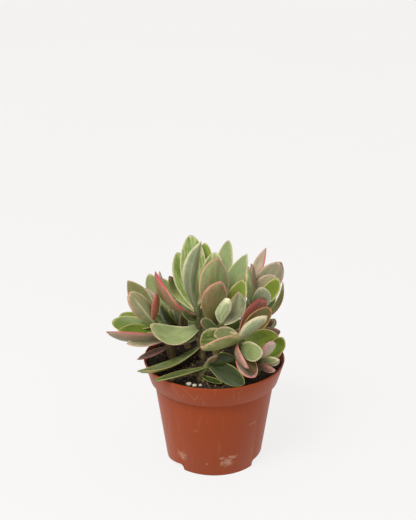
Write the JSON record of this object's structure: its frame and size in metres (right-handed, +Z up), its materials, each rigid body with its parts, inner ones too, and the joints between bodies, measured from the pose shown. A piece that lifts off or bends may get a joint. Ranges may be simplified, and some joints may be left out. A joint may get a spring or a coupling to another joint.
{
  "type": "potted variegated jade plant",
  "caption": "Variegated jade plant: leafy stems of fleshy, pink-edged leaves rooted in dark soil in a round terracotta-coloured nursery pot.",
  "frame": {"origin": "middle of the pot's base, on the plane it stands on", "axes": "+Z up along the pot's axis; -Y towards the side the plant is seen from; +X to that viewer's right"},
  "size_m": [0.1297, 0.1244, 0.1769],
  "materials": {
    "pot": "terracotta-coloured moulded polypropylene, satin, lightly scuffed and dusty",
    "soil": "moist dark potting mix of peat and fine bark",
    "leaf": "fleshy waxy leaves, green with cream to salmon-pink margins",
    "perlite": "dusty white perlite grains"
  },
  "bodies": {
    "root": {"pot": "pot", "soil": "soil", "stem_left": "leaf", "stem_back_left": "leaf", "stem_centre_left": "leaf", "stem_centre": "leaf", "stem_right": "leaf", "stem_right_low": "leaf", "stem_right_side": "leaf", "stem_front_low": "leaf", "stem_back": "leaf", "stem_back_right": "leaf", "perlite_1": "perlite", "perlite_2": "perlite", "perlite_3": "perlite", "perlite_4": "perlite", "perlite_5": "perlite", "perlite_6": "perlite"}
  },
  "joints": []
}
